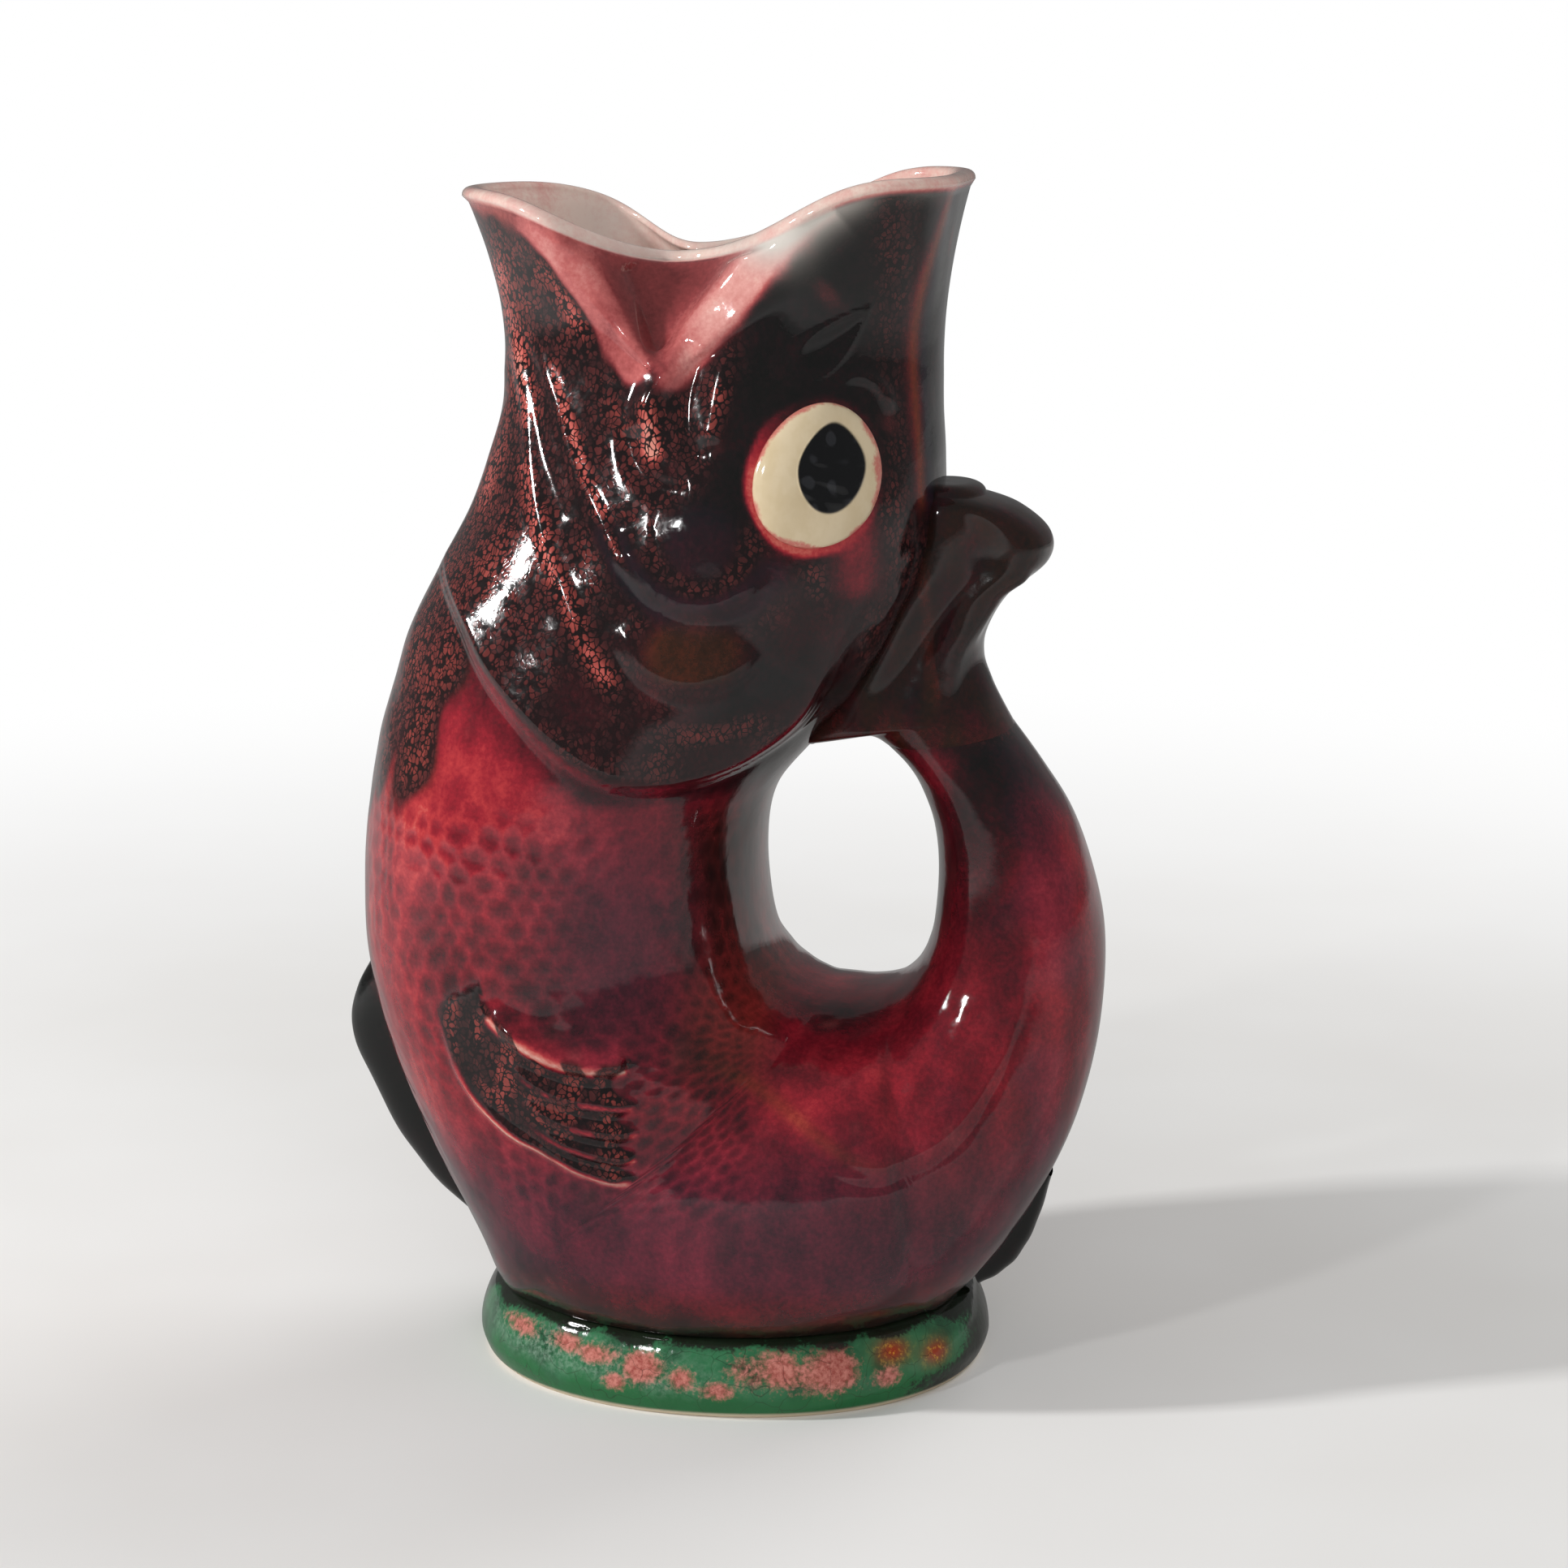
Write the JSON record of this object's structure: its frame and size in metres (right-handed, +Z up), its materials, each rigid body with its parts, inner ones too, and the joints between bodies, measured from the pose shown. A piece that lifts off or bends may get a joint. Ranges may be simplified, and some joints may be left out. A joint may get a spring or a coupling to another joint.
{
  "type": "gurgle jug",
  "caption": "Glazed earthenware jug shaped as an upright fish: open mouth with dipped, webbed corners as spouts, hollow belly on an oval foot, hollow tail looped up to the nape as handle.",
  "frame": {"origin": "centre of the jug's footprint, on the surface that the foot stands on", "axes": "+Z up, -X towards the belly's front and the pouring lip's side, +X towards the tail handle, +-Y across the fish; the jug is alike on both sides of the XZ plane"},
  "size_m": [0.1582, 0.107, 0.2425],
  "materials": {
    "foot_glaze": "glossy green glaze with pink and orange breaks",
    "belly_glaze": "glossy crimson glaze over pressed scales",
    "head_glaze": "glossy mottled maroon and black glaze, pink inside",
    "tail_glaze": "glossy oxblood glaze",
    "fin_glaze": "glossy black glaze, thin and pink on the ridges",
    "eye_glaze": "glossy cream glaze with a painted black pupil"
  },
  "bodies": {
    "root": {"foot_ring": "foot_glaze", "belly": "belly_glaze", "head": "head_glaze", "tail_handle": "tail_glaze", "tail_fin": "head_glaze", "gill_cover_left": "head_glaze", "gill_cover_right": "head_glaze", "pectoral_fin_left": "fin_glaze", "pectoral_fin_right": "fin_glaze", "front_fin": "fin_glaze", "back_fin": "fin_glaze", "eye_left": "eye_glaze", "eye_right": "eye_glaze", "nostril_left": "head_glaze", "nostril_right": "head_glaze"}
  },
  "joints": []
}
